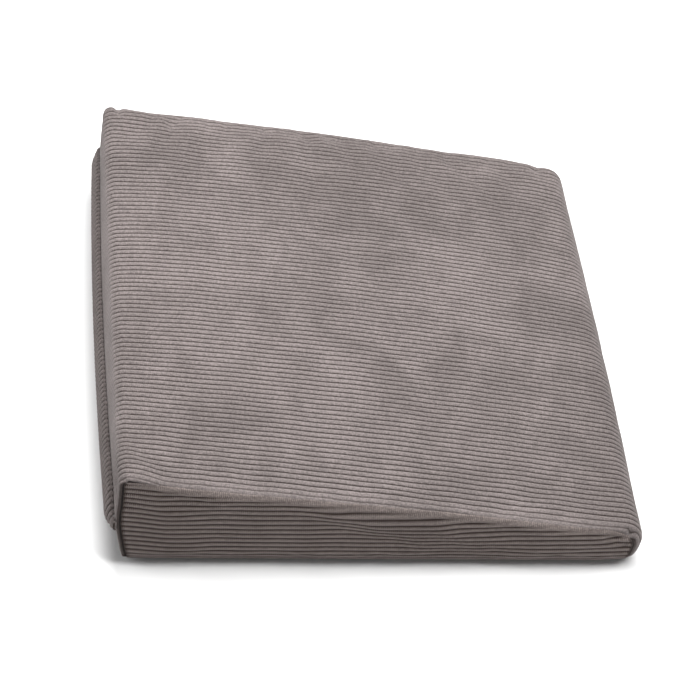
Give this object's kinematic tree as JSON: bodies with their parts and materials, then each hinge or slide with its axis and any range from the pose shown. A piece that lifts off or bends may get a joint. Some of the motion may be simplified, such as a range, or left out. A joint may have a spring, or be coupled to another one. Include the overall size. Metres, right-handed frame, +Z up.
{
  "type": "wedge cushion",
  "caption": "Filled wedge seat cushion in ribbed corduroy, with sewn side gussets and a lapped closure along its thick side.",
  "frame": {"origin": "centre of the flat base, on the surface that the cushion lies on", "axes": "+Z up, +X from the thick side to the thin side, -Y towards the front gusset"},
  "size_m": [0.4076, 0.4276, 0.0905],
  "materials": {
    "main_cloth": "warm grey wide-wale cotton corduroy, matt with a soft nap",
    "gusset_cloth": "the same corduroy with its ribs level, the grooves darker",
    "lap_cloth": "the same corduroy, folded double"
  },
  "bodies": {
    "root": {"cushion": "main_cloth", "front_gusset": "gusset_cloth", "back_gusset": "gusset_cloth", "zip_lap": "lap_cloth"}
  },
  "joints": []
}
